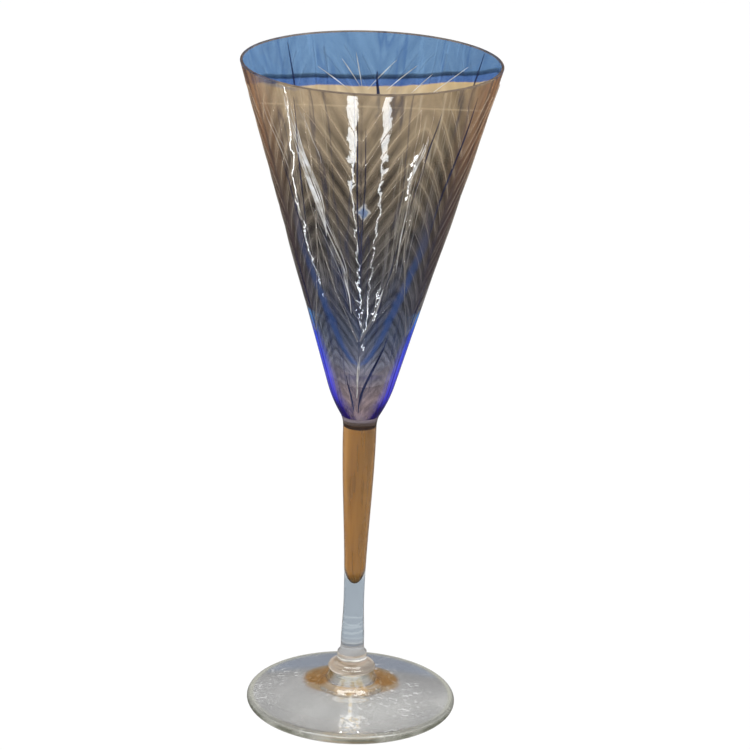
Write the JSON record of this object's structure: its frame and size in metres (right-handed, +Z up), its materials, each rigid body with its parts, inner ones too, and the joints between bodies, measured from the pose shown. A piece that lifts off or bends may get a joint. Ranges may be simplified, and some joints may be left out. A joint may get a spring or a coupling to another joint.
{
  "type": "champagne flute",
  "caption": "Stemmed champagne flute with a conical tinted bowl, a thick rounded base, a button, a cored drawn stem, a beaded collar and a wide disc foot.",
  "frame": {"origin": "centre of the foot's flat resting ring, on the table plane", "axes": "+Z up along the axis that every piece is turned about, from the foot to the rim"},
  "size_m": [0.0866, 0.0866, 0.23],
  "materials": {
    "bowl_glass": "polished lead crystal, steel blue, cobalt where it is thick",
    "button_glass": "polished clear crystal with a faint mauve cast",
    "stem_glass": "polished clear crystal",
    "core_glass": "amber glass, fused inside the stem",
    "collar_glass": "polished clear crystal",
    "foot_glass": "polished clear crystal, lightly smoked"
  },
  "bodies": {
    "root": {"bowl": "bowl_glass", "bowl_button": "button_glass", "stem": "stem_glass", "stem_core": "core_glass", "stem_collar": "collar_glass", "foot": "foot_glass"}
  },
  "joints": []
}
